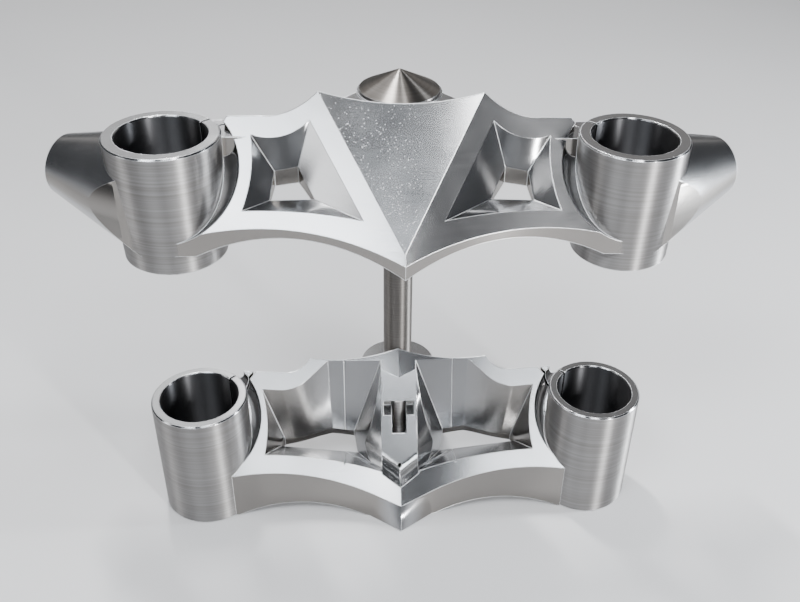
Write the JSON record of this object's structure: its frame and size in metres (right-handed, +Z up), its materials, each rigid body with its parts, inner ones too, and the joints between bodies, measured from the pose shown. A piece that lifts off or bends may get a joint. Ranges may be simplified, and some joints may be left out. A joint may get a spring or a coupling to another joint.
{
  "type": "motorcycle triple clamp",
  "caption": "Billet triple clamp for a motorcycle fork: upper and lower clamps with split fork hubs, sloped pocketed arms and bar stubs, on a steering stem with a conical cap nut.",
  "frame": {"origin": "on the steering axis, level with the bottoms of the lower fork hubs", "axes": "+X across the fork, +Y to the rear, +Z up along the steering axis; the fork bores lie at -Y, and the sloped faces look to -Y and up"},
  "size_m": [0.4036, 0.1444, 0.2877],
  "materials": {
    "clamp_aluminium": "machined and brushed",
    "nut_aluminium": "turned",
    "stem_steel": "ground",
    "screw_steel": "satin"
  },
  "bodies": {
    "root": {"upper_clamp": "clamp_aluminium", "lower_clamp": "clamp_aluminium", "steering_stem": "stem_steel", "cap_nut": "nut_aluminium", "spine_pin": "stem_steel", "upper_right_screw_high": "screw_steel", "upper_right_screw_low": "screw_steel", "upper_left_screw_high": "screw_steel", "upper_left_screw_low": "screw_steel", "lower_right_screw_high": "screw_steel", "lower_right_screw_low": "screw_steel", "lower_left_screw_high": "screw_steel", "lower_left_screw_low": "screw_steel"}
  },
  "joints": []
}
